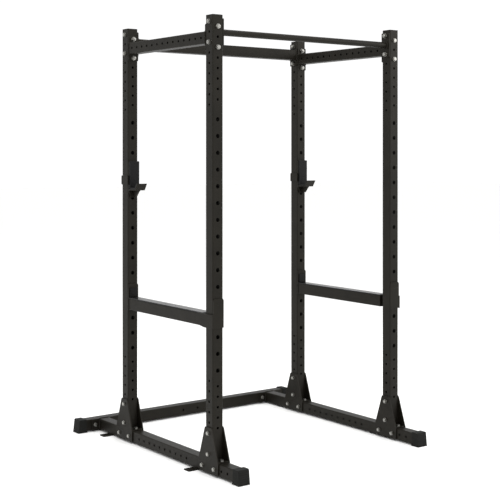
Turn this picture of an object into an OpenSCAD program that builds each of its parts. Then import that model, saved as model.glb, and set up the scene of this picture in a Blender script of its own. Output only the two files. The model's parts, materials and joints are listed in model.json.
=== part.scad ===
/* [Cage] */
// Spacing of the left and right uprights, centre to centre
cage_w = 1160; // [1100:10:1240]
// Spacing of the front and rear uprights, centre to centre
cage_d = 790; // [760:10:900]
// Height of the upright tubes above the floor
cage_h = 2200; // [2200:50:2300]
// How far the side tubes run ahead of the front uprights
front_reach = 233; // [200:1:300]
// From the rear uprights back to the front face of the rear base tube
rear_reach = 285; // [260:5:340]
// Length of the rear base tube
rear_base_w = 1452; // [1420:2:1560]

/* [Tube] */
// Width of the square tube
tube = 60; // [60:0.5:62]
// Wall of the square tube
wall = 3; // [2:0.5:3.5]
// Outside corner radius of the square tube
tube_r = 5; // [4:0.5:6]
// Diameter of the pull-up bar
bar_d = 32; // [28:1:38]

/* [Holes] */
// Diameter of the big height holes
big_d = 21; // [20.8:0.1:24]
// Pitch of the big height holes
big_pitch = 80; // [80:1:80]
// Height of the lowest big hole
big_low = 500; // [500:1:500]
// How many big holes each upright has
big_count = 16; // [14:1:16]
// Diameter of the small holes
small_d = 13; // [12.8:0.1:14]
// Pitch of the small holes
small_pitch = 50; // [50:1:50]

/* [Hardware] */
// Nominal diameter of the top frame bolts
top_bolt_d = 12; // [11:0.5:12]
// Nominal diameter of the base bolts
base_bolt_d = 10; // [8:0.5:10]
// Thickness of the flange plates
flange_t = 6; // [4:0.5:7]
// Thickness of the gusset plates
gusset_t = 6; // [4:0.5:7]

/* [Accessories] */
// Which big hole the bar cups hang in, counted from the lowest
cup_hole = 12; // [8:1:13]
// Which big hole the safeties hang in, counted from the lowest
safety_hole = 4; // [3:1:6]
// Length of the hook pins inside the uprights
pin_reach = 50; // [40:1:52]

/* [Hidden] */
$fn = 48;

left = -1;
right = 1;
front = -1;
rear = 1;
sides = [left, right];
ends = [front, rear];
big = 2000;              // longer than any cut needs
gap = 0.5;               // air between a hung accessory and its upright

// Heights
base_lift = 8;           // sole of a boot, or floor tab, under a base tube
base_mid = base_lift + tube / 2;
base_top = base_lift + tube;
foot_t = 6;              // welded foot plate of an upright
side_beam_z = cage_h - 105;
cross_z = cage_h - 80;
joint_dz = 50;           // bolts above and below a beam's centre
flange_h = 130;
cup_z = big_low + cup_hole * big_pitch;
safety_z = big_low + safety_hole * big_pitch;

// Boots
boot_wall = 2.5;         // rubber on the sides of the tube
boot_cover = 4;          // rubber on top of the tube
boot_end = 11;           // rubber past the end of the tube, at the floor
boot_slope = 8;          // how far the end leans back over its height
boot_grip = 38;          // rubber along the tube
boot_sole = 43;          // sole along the tube
boot_rib_pitch = 10;

// Bolts: head height, nut height, washer thickness, across flats, washer radius
top_af = 19;
base_af = 17;
top_head_h = 7.5;
base_head_h = 6.4;
top_nut_h = 10;
base_nut_h = 8;
top_washer = [12, 2.5];
base_washer = [10.5, 2];
tip = 3;                 // thread past the nut
thread_air = 0.1;

// Plan: the origin lies under the middle of the footprint
front_extent = cage_d / 2 + front_reach + boot_end;
rear_face = cage_d / 2 + rear_reach + tube;
rear_extent = rear_face + base_washer[1] + base_nut_h + tip;
mid_y = (front_extent - rear_extent) / 2;
function upright_x(side) = side * cage_w / 2;
function upright_y(end) = mid_y + end * cage_d / 2;
side_front_y = upright_y(front) - front_reach;
side_rear_y = upright_y(rear) + rear_reach;
base_rear_y = side_rear_y + tube / 2;

// Hole rows of an upright
big_rows = [for (i = [0 : big_count - 1]) big_low + i * big_pitch];
front_small_rows = concat(
    [for (i = [0 : 7]) cage_h - 55 - i * small_pitch],
    [for (i = [0 : 4]) 225 + i * small_pitch]);
side_small_rows = concat(
    [for (i = [0 : 8]) cage_h - 30 - i * small_pitch],
    [for (i = [0 : 7]) 100 + i * small_pitch]);

// Gusset plate outline
gusset_foot = 81;        // half length along the base tube
gusset_head = 31;        // half width at the top
gusset_top = 228;
gusset_low = 10;
gusset_base_dy = 50;     // bolts through the base tube
gusset_rows = [100, 200];
foot_dy = 61;            // bolts through the foot plate
foot_hole_d = base_bolt_d + 1;
rear_joint_dx = 55;
rear_flange_w = 150;

// Floor tabs
tab_t = 5;
tab_w = 48;
tab_out = 50;            // past the outer face of the tube
tab_hole_d = 13;
tab_ys = [upright_y(front) + 125, upright_y(rear) + 164];

// Bar cup, measured from its pin on the face of the upright
cup_t = 6;               // steel
cup_liner_t = 14;
cup_saddle_t = 8;
cup_top = 36;
cup_floor = -119;        // underside of the shelf
cup_tail = -157;
cup_lip_top = -83;
cup_reach = 97;          // lip from the upright
cup_lip_run = 24;        // how far the lip leans out
cup_screw_rows = [24, -60];
pin_r = 9.9;
pin_head_r = 13;
pin_head_t = 4;
wing_t = 6;

// Safety, measured from its pins
safety_drop = 85;        // pin to tube centre
safety_liner_t = 5;
safety_front_gap = 20;   // tube end to the front upright
safety_plate_top = 23;
safety_plate_low = -117;
safety_pad = [46, 48, 6];
safety_y0 = upright_y(front) + tube / 2 + safety_front_gap;
safety_y1 = upright_y(rear) - tube / 2 - gap - cup_t;
safety_screws = [-300, -50, 50, 300];
safety_screw_mid = (safety_y0 + safety_y1) / 2 - 13;

coat = "#2b2a28";
zinc = "#c9c8c4";
rubber = "#1d1d1c";
plastic = "#191919";
strip = "#1a1a1b";

// ---- Shapes shared by several pieces ----

module rounded_rect(w, h, r) {
    square([w - 2 * r, h], center = true);
    square([w, h - 2 * r], center = true);
    for (x = [-1, 1], y = [-1, 1])
        translate([x * (w / 2 - r), y * (h / 2 - r)]) circle(r);
}

module tube_section() {
    difference() {
        rounded_rect(tube, tube, tube_r);
        rounded_rect(tube - 2 * wall, tube - 2 * wall, tube_r - wall + 0.5);
    }
}

// Lays the local Z axis along Y, pointing to the rear
module along_y() { rotate([-90, 0, 0]) children(); }
// Lays the local Z axis along X, pointing right
module along_x() { rotate([0, 90, 0]) children(); }
// Stands an outline drawn in (y, z) upright, t thick towards +X
module side_plate(t) { rotate([90, 0, 90]) linear_extrude(t) children(); }
// Stands an outline drawn in (x, z) upright, t thick towards -Y
module front_plate(t) { rotate([90, 0, 0]) linear_extrude(t) children(); }

module hole_along_y(x, y, z, d, length) {
    translate([x, y, z]) along_y() cylinder(d = d, h = length, center = true);
}

module hole_along_x(x, y, z, d, length) {
    translate([x, y, z]) along_x() cylinder(d = d, h = length, center = true);
}

module hex(af, h) { cylinder(r = af / 2 / cos(30), h = h, $fn = 6); }

// A bolt pointing down its local Z axis, head on top; grip is the metal and washer under the head
module bolt(d, af, head_h, shank) {
    hex(af, head_h);
    translate([0, 0, -shank]) cylinder(d = d, h = shank + 0.5);
}

module washer(size, bore) {
    difference() {
        cylinder(r = size[0], h = size[1]);
        translate([0, 0, -1]) cylinder(d = bore, h = size[1] + 2);
    }
}

module nut(af, h, bore) {
    difference() {
        hex(af, h);
        translate([0, 0, -1]) cylinder(d = bore, h = h + 2);
    }
}

// ---- Uprights ----

module upright(side, end) {
    x = upright_x(side);
    y = upright_y(end);
    color(coat) difference() {
        union() {
            translate([x, y, base_top]) linear_extrude(cage_h - base_top) tube_section();
            translate([x, y, base_top]) linear_extrude(foot_t)
                rounded_rect(tube - 1, 2 * gusset_foot, tube_r);
        }
        for (z = big_rows) hole_along_y(x, y, z, big_d, 2 * tube);
        for (z = front_small_rows) hole_along_y(x, y, z, small_d, 2 * tube);
        for (z = side_small_rows) hole_along_x(x, y, z, small_d, 2 * tube);
        for (e = ends)
            translate([x, y + e * foot_dy, base_top - 1]) cylinder(d = foot_hole_d, h = foot_t + 2);
    }
}

module upright_front_left() { upright(left, front); }
module upright_front_right() { upright(right, front); }
module upright_rear_left() { upright(left, rear); }
module upright_rear_right() { upright(right, rear); }

// Plug-in cap: a thin domed head over a plug that grips inside the tube
module top_cap(side, end) {
    plug = tube - 2 * wall - 0.6;
    color(plastic) translate([upright_x(side), upright_y(end), cage_h]) {
        linear_extrude(2) rounded_rect(tube, tube, tube_r);
        translate([0, 0, 2]) linear_extrude(1) rounded_rect(tube - 3, tube - 3, tube_r - 1);
        translate([0, 0, 3]) linear_extrude(0.6) rounded_rect(tube - 10, tube - 10, tube_r - 1);
        difference() {
            translate([0, 0, -14]) linear_extrude(14) rounded_rect(plug, plug, 2);
            translate([0, 0, -15]) linear_extrude(14) rounded_rect(plug - 6, plug - 6, 2);
        }
    }
}

module top_cap_front_left() { top_cap(left, front); }
module top_cap_front_right() { top_cap(right, front); }
module top_cap_rear_left() { top_cap(left, rear); }
module top_cap_rear_right() { top_cap(right, rear); }

// ---- Base ----

// Side tube with its welded rear flange and two floor tabs
module base_side(side) {
    x = upright_x(side);
    tube_rear = side_rear_y - flange_t;
    middle = (side_front_y + side_rear_y) / 2;
    color(coat) difference() {
        union() {
            translate([x, side_front_y, base_mid]) along_y()
                linear_extrude(tube_rear - side_front_y) tube_section();
            translate([x, side_rear_y, base_mid]) front_plate(flange_t)
                rounded_rect(rear_flange_w, tube, tube_r);
            for (y = tab_ys) floor_tab(side, y);
        }
        for (i = [-4.5 : 4.5]) hole_along_x(x, middle + i * small_pitch, base_mid, small_d, 2 * tube);
        for (i = [2, 3])
            hole_along_x(x, upright_y(front) - i * small_pitch, base_mid, small_d, 2 * tube);
        for (e = ends, dy = [-gusset_base_dy, gusset_base_dy])
            hole_along_x(x, upright_y(e) + dy, base_mid, small_d, 2 * tube);
        for (e = ends, dy = [-foot_dy, foot_dy])
            translate([x, upright_y(e) + dy, base_top - 2 * wall])
                cylinder(d = foot_hole_d, h = 3 * wall);
        for (dx = [-rear_joint_dx, rear_joint_dx])
            hole_along_y(x + dx, side_rear_y, base_mid, foot_hole_d, 4 * flange_t);
    }
}

// Floor plate on a riser under the tube
module floor_tab(side, y) {
    reach = tube / 2 + tab_out;
    translate([upright_x(side), y, 0]) {
        translate([side * (reach / 2 - 10), 0, 0]) difference() {
            linear_extrude(tab_t) rounded_rect(reach + 20, tab_w, 8);
            translate([side * (reach / 2 - 12), 0, -1]) cylinder(d = tab_hole_d, h = tab_t + 2);
        }
        translate([side * 5, 0, tab_t - 0.5]) linear_extrude(base_lift - tab_t + 1)
            rounded_rect(tube - 14, tab_w - 10, 3);
    }
}

module base_side_left() { base_side(left); }
module base_side_right() { base_side(right); }

module base_rear() {
    color(coat) difference() {
        translate([-rear_base_w / 2, base_rear_y, base_mid]) along_x()
            linear_extrude(rear_base_w) tube_section();
        for (x = [-small_pitch, small_pitch])
            hole_along_y(x, base_rear_y, base_mid, small_d, 2 * tube);
        for (side = sides, dx = [-rear_joint_dx, rear_joint_dx])
            hole_along_y(upright_x(side) + dx, base_rear_y, base_mid, foot_hole_d, 2 * tube);
    }
}

// Rubber boot on the end of a tube that lies along local -Z, with its end face at z = 0
// and the floor side towards local -Y. Its end leans back, and carries ribs.
module boot() {
    low = -base_mid;
    high = tube / 2 + boot_cover;
    outer = tube + 2 * boot_wall;
    function end_at(y) = boot_end - boot_slope * (y - low) / (high - low);
    color(rubber) difference() {
        union() {
            translate([-outer / 2, 0, 0]) rotate([90, 0, 90]) linear_extrude(outer) polygon([
                [low, -boot_sole], [low, boot_end], [high - 3, end_at(high - 3)],
                [high, end_at(high) - 3], [high, -boot_grip], [-tube / 2, -boot_grip],
                [-tube / 2, -boot_sole]]);
            for (i = [0 : 5])
                translate([0, low + 12 + i * boot_rib_pitch, end_at(low + 12 + i * boot_rib_pitch) - 2])
                    linear_extrude(3.2) rounded_rect(outer - 8, 4, 1);
        }
        translate([0, 0, -boot_sole - 5]) linear_extrude(boot_sole + 5)
            rounded_rect(tube + 0.2, tube + 0.2, tube_r);
    }
}

module boot_front(side) {
    translate([upright_x(side), side_front_y, base_mid]) rotate([90, 0, 0]) boot();
}

module boot_rear(side) {
    translate([side * rear_base_w / 2, base_rear_y, base_mid]) rotate([90, 0, side * 90]) boot();
}

module boot_front_left() { boot_front(left); }
module boot_front_right() { boot_front(right); }
module boot_rear_left() { boot_rear(left); }
module boot_rear_right() { boot_rear(right); }

// ---- Gusset plates ----

module gusset_outline() {
    f = gusset_foot;
    h = gusset_head;
    half = [[h - 6, gusset_top], [h, gusset_top - 8], [f, base_top], [f, gusset_low + 6],
        [f - 6, gusset_low]];
    polygon(concat(half, [for (i = [4 : -1 : 0]) [-half[i][0], half[i][1]]]));
}

// face is +1 for the plate on the +X face of the upright, -1 for the other
module gusset(side, end, face) {
    x = upright_x(side) + face * tube / 2 + (face < 0 ? -gusset_t : 0);
    y = upright_y(end);
    color(coat) difference() {
        translate([x, y, 0]) side_plate(gusset_t) gusset_outline();
        for (z = gusset_rows) hole_along_x(x, y, z, foot_hole_d, 3 * tube);
        for (dy = [-gusset_base_dy, gusset_base_dy])
            hole_along_x(x, y + dy, base_mid, foot_hole_d, 3 * tube);
    }
}

module gusset_front_left_outer() { gusset(left, front, -1); }
module gusset_front_left_inner() { gusset(left, front, 1); }
module gusset_front_right_outer() { gusset(right, front, 1); }
module gusset_front_right_inner() { gusset(right, front, -1); }
module gusset_rear_left_outer() { gusset(left, rear, -1); }
module gusset_rear_left_inner() { gusset(left, rear, 1); }
module gusset_rear_right_outer() { gusset(right, rear, 1); }
module gusset_rear_right_inner() { gusset(right, rear, -1); }

// ---- Top frame ----

// Flange plate lying in the (x, z) plane, t thick towards -Y from its origin
module flange_y() {
    difference() {
        front_plate(flange_t) rounded_rect(tube, flange_h, 4);
        for (dz = [-joint_dz, joint_dz]) hole_along_y(0, 0, dz, small_d, 4 * flange_t);
    }
}

// The same plate lying in the (y, z) plane, t thick towards +X
module flange_x() {
    difference() {
        side_plate(flange_t) rounded_rect(tube, flange_h, 4);
        for (dz = [-joint_dz, joint_dz]) hole_along_x(0, 0, dz, small_d, 4 * flange_t);
    }
}

module top_side_beam(side) {
    y0 = upright_y(front) + tube / 2;
    y1 = upright_y(rear) - tube / 2;
    color(coat) translate([upright_x(side), 0, side_beam_z]) {
        difference() {
            translate([0, y0 + flange_t, 0]) along_y()
                linear_extrude(y1 - y0 - 2 * flange_t) tube_section();
            for (i = [-6.5 : 6.5]) hole_along_x(0, mid_y + i * small_pitch, 0, small_d, 2 * tube);
        }
        translate([0, y0 + flange_t, 0]) flange_y();
        translate([0, y1, 0]) flange_y();
    }
}

module top_side_beam_left() { top_side_beam(left); }
module top_side_beam_right() { top_side_beam(right); }

module top_rear_beam() {
    x0 = -cage_w / 2 + tube / 2;
    color(coat) translate([0, upright_y(rear), cross_z]) {
        translate([x0 + flange_t, 0, 0]) along_x()
            linear_extrude(-2 * x0 - 2 * flange_t) tube_section();
        translate([x0, 0, 0]) flange_x();
        translate([-x0 - flange_t, 0, 0]) flange_x();
    }
}

module pull_up_bar() {
    x0 = -cage_w / 2 + tube / 2;
    length = -2 * x0 - 2 * flange_t;
    color(coat) translate([0, upright_y(front), cross_z]) {
        difference() {
            translate([x0 + flange_t, 0, 0]) along_x() cylinder(d = bar_d, h = length);
            translate([x0 + flange_t, 0, 0]) along_x() cylinder(d = bar_d - 2 * wall, h = length);
        }
        translate([x0, 0, 0]) flange_x();
        translate([-x0 - flange_t, 0, 0]) flange_x();
    }
}

// ---- Fasteners: each place is [position of the outer face, turn of its outward axis] ----

top_places = concat(
    [for (s = sides, e = ends, dz = [-joint_dz, joint_dz])
        [[upright_x(s) + s * tube / 2, upright_y(e), cross_z + dz], [0, s * 90, 0]]],
    [for (s = sides, e = ends, dz = [-joint_dz, joint_dz])
        [[upright_x(s), upright_y(e) + e * tube / 2, side_beam_z + dz], [-e * 90, 0, 0]]]);
gusset_places = [for (s = sides, e = ends, p = [[0, 100], [0, 200],
        [-gusset_base_dy, base_mid], [gusset_base_dy, base_mid]])
    [[upright_x(s) + s * (tube / 2 + gusset_t), upright_y(e) + p[0], p[1]], [0, s * 90, 0]]];
foot_places = [for (s = sides, e = ends, dy = [-foot_dy, foot_dy])
    [[upright_x(s), upright_y(e) + dy, base_top + foot_t], [0, 0, 0]]];
rear_places = [for (s = sides, dx = [-rear_joint_dx, rear_joint_dx])
    [[upright_x(s) + dx, side_rear_y - flange_t, base_mid], [90, 0, 0]]];

module at_places(places) {
    for (p = places) translate(p[0]) rotate(p[1]) children();
}

module bolts(places, d, af, head_h, grip, washer_t, nut_h) {
    color(zinc) at_places(places) translate([0, 0, washer_t])
        bolt(d, af, head_h, grip + 2 * washer_t + nut_h + tip);
}

module washer_pairs(places, size, d, grip) {
    color(zinc) at_places(places) {
        washer(size, d + 0.6);
        translate([0, 0, -grip - size[1]]) washer(size, d + 0.6);
    }
}

module nuts(places, d, af, h, grip, washer_t) {
    color(zinc) at_places(places) translate([0, 0, -grip - washer_t - h])
        nut(af, h, d + 2 * thread_air);
}

top_grip = tube + flange_t;
gusset_grip = tube + 2 * gusset_t;
foot_grip = foot_t + wall;
rear_grip = flange_t + tube;

module top_bolts() {
    bolts(top_places, top_bolt_d, top_af, top_head_h, top_grip, top_washer[1], top_nut_h);
}
module top_washers() { washer_pairs(top_places, top_washer, top_bolt_d, top_grip); }
module top_nuts() { nuts(top_places, top_bolt_d, top_af, top_nut_h, top_grip, top_washer[1]); }

module gusset_bolts() {
    bolts(gusset_places, base_bolt_d, base_af, base_head_h, gusset_grip, base_washer[1], base_nut_h);
}
module gusset_washers() { washer_pairs(gusset_places, base_washer, base_bolt_d, gusset_grip); }
module gusset_nuts() {
    nuts(gusset_places, base_bolt_d, base_af, base_nut_h, gusset_grip, base_washer[1]);
}

module foot_bolts() {
    color(zinc) at_places(foot_places) translate([0, 0, base_washer[1]])
        bolt(base_bolt_d, base_af, base_head_h, foot_grip + base_washer[1] + base_nut_h);
}
module foot_washers() {
    color(zinc) at_places(foot_places) washer(base_washer, base_bolt_d + 0.6);
}
module foot_weld_nuts() { nuts(foot_places, base_bolt_d, base_af, base_nut_h, foot_grip, 0); }

module rear_joint_bolts() {
    bolts(rear_places, base_bolt_d, base_af, base_head_h, rear_grip, base_washer[1], base_nut_h);
}
module rear_joint_washers() { washer_pairs(rear_places, base_washer, base_bolt_d, rear_grip); }
module rear_joint_nuts() {
    nuts(rear_places, base_bolt_d, base_af, base_nut_h, rear_grip, base_washer[1]);
}

// ---- Bar cups, both alike, each hung by one pin on a rear upright ----

module at_cup(side) {
    translate([upright_x(side), upright_y(rear) - tube / 2, cup_z]) children();
}

// Where the lip's inner face is at height z, for a lip of thickness t measured square to it
function lip_y(z, t) = -cup_reach + (cup_lip_top - z) * cup_lip_run / (cup_lip_top - cup_floor)
    + t * sqrt(1 + pow(cup_lip_run / (cup_lip_top - cup_floor), 2));

module cup_pin(side) {
    color(zinc) at_cup(side) {
        translate([0, -gap - cup_t - pin_head_t, 0]) along_y() cylinder(r = pin_head_r, h = pin_head_t);
        translate([0, -gap - cup_t - 1, 0]) along_y() cylinder(r = pin_r, h = cup_t + gap + pin_reach - 1);
        translate([0, pin_reach - 2, 0]) along_y() cylinder(r1 = pin_r, r2 = pin_r - 2, h = 2);
    }
}

module cup_bracket(side) {
    half = tube / 2;
    back = gap + cup_t;
    color(coat) at_cup(side) difference() {
        union() {
            // back plate with its tapered tail
            translate([0, -gap, 0]) front_plate(cup_t) polygon([
                [-half, cup_top - 6], [6 - half, cup_top], [half - 6, cup_top], [half, cup_top - 6],
                [half, cup_floor], [17, cup_tail], [-17, cup_tail], [-half, cup_floor]]);
            // shelf and lip
            translate([-half, 0, 0]) side_plate(tube) polygon([
                [-back, cup_floor], [-cup_reach + cup_lip_run, cup_floor], [-cup_reach, cup_lip_top],
                [lip_y(cup_lip_top, cup_t), cup_lip_top],
                [lip_y(cup_floor + cup_t, cup_t), cup_floor + cup_t], [-back, cup_floor + cup_t]]);
            // rib under the shelf
            translate([-4, 0, 0]) side_plate(8) polygon([
                [-back, cup_floor + 1], [-69, cup_floor + 1], [-69, cup_floor], [-38, cup_tail + 3],
                [-back, cup_tail]]);
            // wing that hugs the left face of the upright
            translate([-half - gap - wing_t, 0, 0]) side_plate(wing_t) polygon([
                [-back, -41], [tube - 6, -41], [tube - 2, -45], [tube - 2, -86], [tube - 6, -90],
                [-back, -90]]);
            translate([-half - gap - 1, -back, -90]) cube([gap + 2, cup_t, 49]);
        }
        translate([0, -gap - cup_t - 1, 0]) along_y() cylinder(r = pin_r + 0.08, h = cup_t + 2);
        for (z = cup_screw_rows) hole_along_y(0, -back, z, 6, 4 * cup_t);
    }
}

module cup_back_liner(side) {
    y0 = gap + cup_t + 0.1;
    color(plastic) at_cup(side) difference() {
        translate([0, -y0, 0]) front_plate(cup_liner_t) translate([0, (cup_top + cup_floor + cup_t) / 2])
            rounded_rect(tube - 4, cup_top - cup_floor - cup_t - 2, 4);
        translate([0, -y0 - pin_head_t - 1, 0]) along_y() cylinder(r = pin_head_r + 0.5, h = 20);
        for (z = cup_screw_rows) {
            hole_along_y(0, -y0, z, 6, 4 * cup_liner_t);
            translate([0, -y0 - cup_liner_t - 0.01, z]) along_y() cylinder(r1 = 6, r2 = 3, h = 3.5);
        }
    }
}

module cup_saddle(side) {
    low = cup_floor + cup_t;
    high = low + cup_saddle_t;
    y0 = gap + cup_t + cup_liner_t + 0.3;
    inner = cup_t + cup_saddle_t;
    color(plastic) at_cup(side) translate([2 - tube / 2, 0, 0]) side_plate(tube - 4) polygon([
        [-y0, low], [lip_y(low, cup_t), low], [lip_y(cup_lip_top, cup_t), cup_lip_top],
        [lip_y(cup_lip_top, inner), cup_lip_top], [lip_y(high, inner), high], [-y0, high]]);
}

module cup_screws(side) {
    color(zinc) at_cup(side) for (z = cup_screw_rows)
        translate([0, -gap - cup_t - 0.1 - cup_liner_t, z]) along_y() {
            cylinder(r1 = 5.7, r2 = 2.8, h = 3.2);
            cylinder(r = 2.8, h = cup_liner_t + cup_t);
        }
}

module cup_left_pin() { cup_pin(left); }
module cup_left_bracket() { cup_bracket(left); }
module cup_left_back_liner() { cup_back_liner(left); }
module cup_left_saddle() { cup_saddle(left); }
module cup_left_screws() { cup_screws(left); }
module cup_right_pin() { cup_pin(right); }
module cup_right_bracket() { cup_bracket(right); }
module cup_right_back_liner() { cup_back_liner(right); }
module cup_right_saddle() { cup_saddle(right); }
module cup_right_screws() { cup_screws(right); }

// ---- Safeties, a mirrored pair, each hung by two pins that point to the rear ----

// Draws the left safety's shape in place, or its mirror image for the right one
module at_safety(side) {
    if (side == left) translate([-cage_w / 2, 0, safety_z]) children();
    else mirror([1, 0, 0]) translate([-cage_w / 2, 0, safety_z]) children();
}

module safety_plate_outline() {
    half = tube / 2;
    polygon([[-half, safety_plate_low], [half, safety_plate_low], [half, safety_plate_top - 8],
        [half - 6, safety_plate_top], [6 - half, safety_plate_top], [-half, safety_plate_top - 8]]);
}

module safety_arm(side) {
    half = tube / 2;
    front_face = upright_y(front) - half - gap;
    tube_low = -safety_drop - half;
    tube_high = -safety_drop + half;
    wing_low = tube_low - 3;
    wing_high = tube_high + 3;
    color(coat) at_safety(side) difference() {
        union() {
            translate([0, safety_y0, -safety_drop]) along_y()
                linear_extrude(safety_y1 - safety_y0) tube_section();
            // end plate that shuts the front of the tube
            translate([0, safety_y0 + 3, -safety_drop]) front_plate(3)
                rounded_rect(tube - 2, tube - 2, tube_r - 1);
            // rear plate, on the front face of the rear upright
            translate([0, safety_y1 + cup_t, 0]) front_plate(cup_t) safety_plate_outline();
            // front plate, on the front face of the front upright
            translate([0, front_face, 0]) front_plate(cup_t) safety_plate_outline();
            // wing from the front plate back past the upright to the tube
            translate([-half - gap - wing_t, 0, 0]) side_plate(wing_t) polygon([
                [front_face - cup_t, wing_low], [safety_y0 - 12, wing_low], [safety_y0 + 18, wing_low + 5],
                [safety_y0 + 42, wing_low + 9], [safety_y0 + 48, wing_low + 15],
                [safety_y0 + 48, wing_high - 6], [safety_y0 + 42, wing_high],
                [front_face - cup_t, wing_high]]);
            translate([-half - gap - 0.5, front_face - cup_t, wing_low])
                cube([gap + 1.5, cup_t, wing_high - wing_low]);
            translate([-half - gap - 0.5, safety_y0, tube_low + tube_r])
                cube([gap + 1, 44, tube - 2 * tube_r]);
        }
        for (y = [front_face, safety_y1 + cup_t]) hole_along_y(0, y, 0, 20.1, 4 * cup_t);
        for (dy = safety_screws)
            translate([0, safety_screw_mid + dy, tube_high - 2 * wall]) cylinder(d = 6, h = 3 * wall);
    }
}

// Each pin is welded in its plate, flush in front, and reaches into its upright
module safety_pins(side) {
    color(zinc) at_safety(side) for (y = [upright_y(front), upright_y(rear)])
        translate([0, y - tube / 2, 0]) {
            translate([0, -gap - cup_t, 0]) along_y() cylinder(r = 10, h = cup_t + gap + pin_reach - 2);
            translate([0, pin_reach - 2, 0]) along_y() cylinder(r1 = 10, r2 = 8, h = 2);
        }
}

module safety_liner(side) {
    color(strip) at_safety(side) difference() {
        translate([0, safety_y0 + 6, tube / 2 - safety_drop + safety_liner_t / 2]) along_y()
            linear_extrude(safety_y1 - safety_y0 - 7) rounded_rect(tube - 3, safety_liner_t, 1);
        for (dy = safety_screws) translate([0, safety_screw_mid + dy, tube / 2 - safety_drop]) {
            cylinder(d = 6, h = 3 * safety_liner_t, center = true);
            translate([0, 0, safety_liner_t - 3]) cylinder(r1 = 3, r2 = 6.2, h = 3.2);
        }
    }
}

module safety_pad(side) {
    top = 1;
    color(plastic) at_safety(side)
        translate([0, safety_y1 - 0.1, top - safety_pad[1] / 2]) front_plate(safety_pad[2])
            rounded_rect(safety_pad[0], safety_pad[1], 4);
}

module safety_screws_set(side) {
    color(zinc) at_safety(side) for (dy = safety_screws)
        translate([0, safety_screw_mid + dy, tube / 2 - safety_drop]) {
            translate([0, 0, safety_liner_t - 3.1]) cylinder(r1 = 2.8, r2 = 5.8, h = 3);
            translate([0, 0, -8]) cylinder(r = 2.8, h = safety_liner_t + 5);
        }
}

module safety_left_arm() { safety_arm(left); }
module safety_left_pins() { safety_pins(left); }
module safety_left_liner() { safety_liner(left); }
module safety_left_pad() { safety_pad(left); }
module safety_left_screws() { safety_screws_set(left); }
module safety_right_arm() { safety_arm(right); }
module safety_right_pins() { safety_pins(right); }
module safety_right_liner() { safety_liner(right); }
module safety_right_pad() { safety_pad(right); }
module safety_right_screws() { safety_screws_set(right); }

upright_front_left();
upright_front_right();
upright_rear_left();
upright_rear_right();
top_cap_front_left();
top_cap_front_right();
top_cap_rear_left();
top_cap_rear_right();
base_side_left();
base_side_right();
base_rear();
boot_front_left();
boot_front_right();
boot_rear_left();
boot_rear_right();
gusset_front_left_outer();
gusset_front_left_inner();
gusset_front_right_outer();
gusset_front_right_inner();
gusset_rear_left_outer();
gusset_rear_left_inner();
gusset_rear_right_outer();
gusset_rear_right_inner();
top_side_beam_left();
top_side_beam_right();
top_rear_beam();
pull_up_bar();
top_bolts();
top_washers();
top_nuts();
gusset_bolts();
gusset_washers();
gusset_nuts();
foot_bolts();
foot_washers();
foot_weld_nuts();
rear_joint_bolts();
rear_joint_washers();
rear_joint_nuts();
cup_left_pin();
cup_left_bracket();
cup_left_back_liner();
cup_left_saddle();
cup_left_screws();
cup_right_pin();
cup_right_bracket();
cup_right_back_liner();
cup_right_saddle();
cup_right_screws();
safety_left_arm();
safety_left_pins();
safety_left_liner();
safety_left_pad();
safety_left_screws();
safety_right_arm();
safety_right_pins();
safety_right_liner();
safety_right_pad();
safety_right_screws();
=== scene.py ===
"""Gives a packed power cage its looks: coated steel with softened edges and weld beads, threaded
zinc-plated hardware, rubber boots, crowned caps, and lined bar cups and safeties."""

import itertools
import json
import math

import bmesh
import bpy
from bpy.props import FloatProperty, FloatVectorProperty, IntProperty, PointerProperty
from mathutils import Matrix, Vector

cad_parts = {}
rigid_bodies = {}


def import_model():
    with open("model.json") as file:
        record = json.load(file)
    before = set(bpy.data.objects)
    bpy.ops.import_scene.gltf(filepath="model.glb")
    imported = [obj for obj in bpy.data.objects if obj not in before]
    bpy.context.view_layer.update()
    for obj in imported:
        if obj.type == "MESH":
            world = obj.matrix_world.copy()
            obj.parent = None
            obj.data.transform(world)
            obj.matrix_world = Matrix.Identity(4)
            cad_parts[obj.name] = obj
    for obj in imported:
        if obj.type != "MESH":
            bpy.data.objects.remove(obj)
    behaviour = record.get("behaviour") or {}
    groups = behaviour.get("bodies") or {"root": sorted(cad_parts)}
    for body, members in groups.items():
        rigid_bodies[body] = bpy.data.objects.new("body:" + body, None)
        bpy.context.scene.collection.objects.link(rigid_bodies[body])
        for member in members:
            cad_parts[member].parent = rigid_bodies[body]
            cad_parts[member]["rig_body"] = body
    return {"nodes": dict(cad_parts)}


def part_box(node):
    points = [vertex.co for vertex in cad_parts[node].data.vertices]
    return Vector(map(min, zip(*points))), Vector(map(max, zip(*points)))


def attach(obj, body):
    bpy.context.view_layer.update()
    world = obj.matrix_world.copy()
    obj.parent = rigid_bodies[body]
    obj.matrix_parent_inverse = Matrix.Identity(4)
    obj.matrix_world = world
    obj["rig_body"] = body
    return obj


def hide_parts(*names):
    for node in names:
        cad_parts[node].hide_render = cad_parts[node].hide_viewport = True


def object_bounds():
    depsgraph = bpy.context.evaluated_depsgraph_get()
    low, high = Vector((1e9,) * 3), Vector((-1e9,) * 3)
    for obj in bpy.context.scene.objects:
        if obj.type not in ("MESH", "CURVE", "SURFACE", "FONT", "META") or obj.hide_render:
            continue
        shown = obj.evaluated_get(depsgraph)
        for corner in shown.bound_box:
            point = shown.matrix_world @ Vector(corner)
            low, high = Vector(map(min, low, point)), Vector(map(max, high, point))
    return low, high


bl_info = {
    "name": "Power Cage",
    "version": (1, 0, 0),
    "blender": (4, 5, 0),
    "location": "View3D > Sidebar > Power Cage",
    "description": "Builds the coated steel, hardware, rubber and liners of a power cage",
    "category": "Add Mesh",
}

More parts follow.
